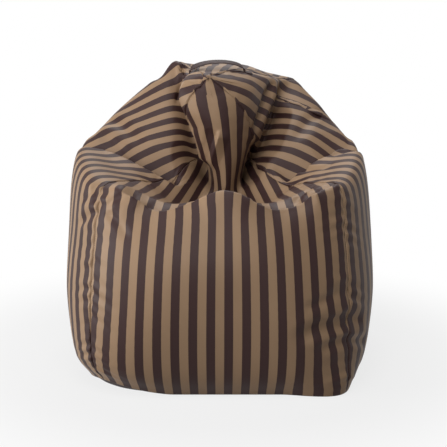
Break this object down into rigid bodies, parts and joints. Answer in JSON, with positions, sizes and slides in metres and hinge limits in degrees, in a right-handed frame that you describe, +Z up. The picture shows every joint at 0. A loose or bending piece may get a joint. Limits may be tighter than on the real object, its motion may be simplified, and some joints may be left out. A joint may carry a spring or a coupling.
{
  "type": "bean bag chair",
  "caption": "Floor bean bag chair: a slumped seat between soft arms, a high folded back, a striped leather-look cover, a carry handle on the crown and a zip low on the back.",
  "frame": {"origin": "centre of the footprint, on the surface that the chair stands on", "axes": "+X to the chair's left-to-right as seen from the front, +Y towards the back, +Z up; the sitter faces -Y"},
  "size_m": [0.9418, 0.9352, 0.9378],
  "materials": {
    "striped_leather": "smooth coated leather with a soft sheen, woven with tan and dark brown stripes 25 mm wide along each panel",
    "dark_leather": "plain dark brown coated leather with a soft sheen",
    "liner_cloth": "plain off-white woven liner cloth",
    "liner_tape": "woven zip tape",
    "liner_teeth": "moulded coil",
    "beads": "loose expanded polystyrene beads",
    "zip_tape": "woven zip tape, dark brown",
    "zip_teeth": "moulded coil, dark brown",
    "zip_metal": "cast zinc with an antique finish"
  },
  "bodies": {
    "bag": {"front_panel": "striped_leather", "right_panel": "striped_leather", "back_panel": "striped_leather", "left_panel": "striped_leather", "base_panel": "dark_leather", "liner_body": "liner_cloth", "liner_base": "liner_cloth", "liner_tape_front": "liner_tape", "liner_tape_rear": "liner_tape", "liner_teeth_front": "liner_teeth", "liner_teeth_rear": "liner_teeth", "liner_stops": "liner_teeth", "bead_fill": "beads", "zip_tape_upper": "zip_tape", "zip_tape_lower": "zip_tape", "zip_teeth_upper": "zip_teeth", "zip_teeth_lower": "zip_teeth", "zip_stops": "zip_teeth", "handle_tab_left": "dark_leather", "handle_tab_right": "dark_leather"},
    "cover_zip_slider": {"zip_slider": "zip_metal"},
    "cover_zip_pull": {"zip_pull": "zip_metal"},
    "liner_zip_slider": {"liner_slider": "zip_metal"},
    "carry_handle": {"handle_loop": "dark_leather"}
  },
  "joints": [
    {"name": "cover_zip", "type": "slide", "parent": "bag", "child": "cover_zip_slider", "axis": [-1, 0, 0], "range_m": [0, 0.348]},
    {"name": "pull_swing", "type": "hinge", "parent": "cover_zip_slider", "child": "cover_zip_pull", "pos_m": [0.1742, 0.41279, 0.03408], "axis": [0, 0.5975, 0.8019], "range_deg": [-90, 90]},
    {"name": "liner_zip", "type": "slide", "parent": "bag", "child": "liner_zip_slider", "axis": [1, 0, 0], "range_m": [0, 0.282]},
    {"name": "handle_swing", "type": "hinge", "parent": "bag", "child": "carry_handle", "pos_m": [-0.09472, 0.06535, 0.90551], "axis": [0.979, 0.2033, 0.0142], "range_deg": [-20, 20], "stiffness_Nm_per_rad": 0.06}
  ]
}
